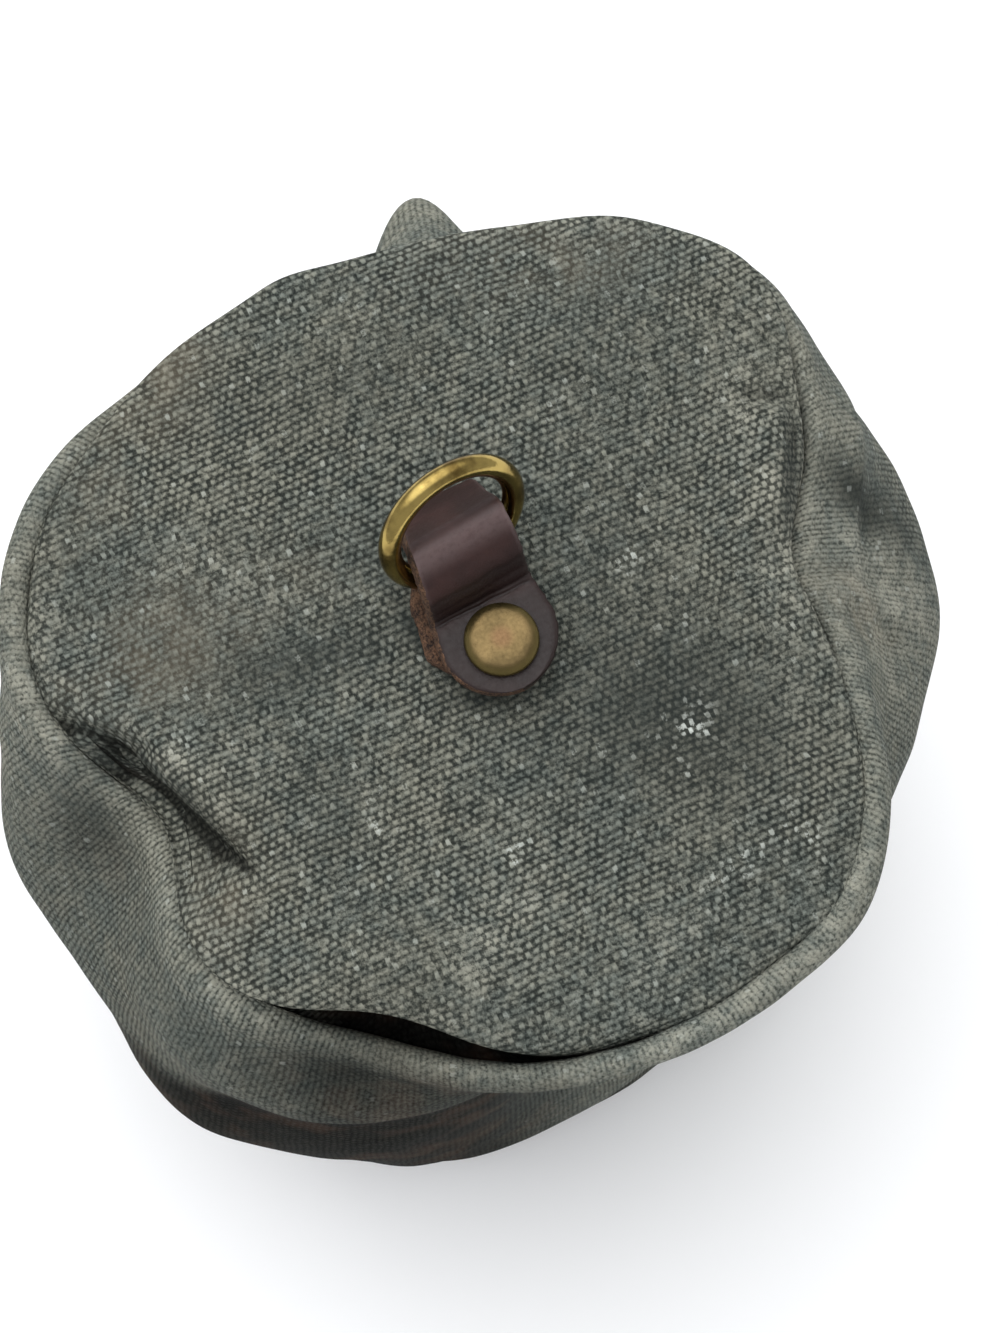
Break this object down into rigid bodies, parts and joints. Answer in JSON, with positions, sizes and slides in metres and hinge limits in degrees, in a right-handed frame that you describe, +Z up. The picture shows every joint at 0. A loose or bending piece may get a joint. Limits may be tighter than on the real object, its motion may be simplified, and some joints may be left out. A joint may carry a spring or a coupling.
{
  "type": "handlebar bag",
  "caption": "Round soft waxed-canvas handlebar bag standing base up on its open mouth, with a rolled base seam and a riveted leather tab that holds a brass ring.",
  "frame": {"origin": "middle of the bag's bounding box, on the floor under the open mouth", "axes": "+Z up from the mouth to the base, +Y along the leather tab from its rivet to its ring, +X across the tab"},
  "size_m": [0.1267, 0.119, 0.1335],
  "materials": {
    "canvas": "waxed cotton duck, slate grey-green, worn pale on its folds",
    "leather": "smooth dark maroon hide with raw tan edges",
    "brass": "polished, slightly tarnished",
    "aged_brass": "satin, handled"
  },
  "bodies": {
    "bag": {"base_panel": "canvas", "side_wall": "canvas", "ring_tab": "leather", "tab_rivet": "aged_brass"},
    "ring": {"tab_ring": "brass"}
  },
  "joints": [
    {"name": "ring_swing", "type": "hinge", "parent": "bag", "child": "ring", "pos_m": [0.0026, 0.00594, 0.1235], "axis": [0.9848, 0.1736, 0], "range_deg": [-6, 18]}
  ]
}
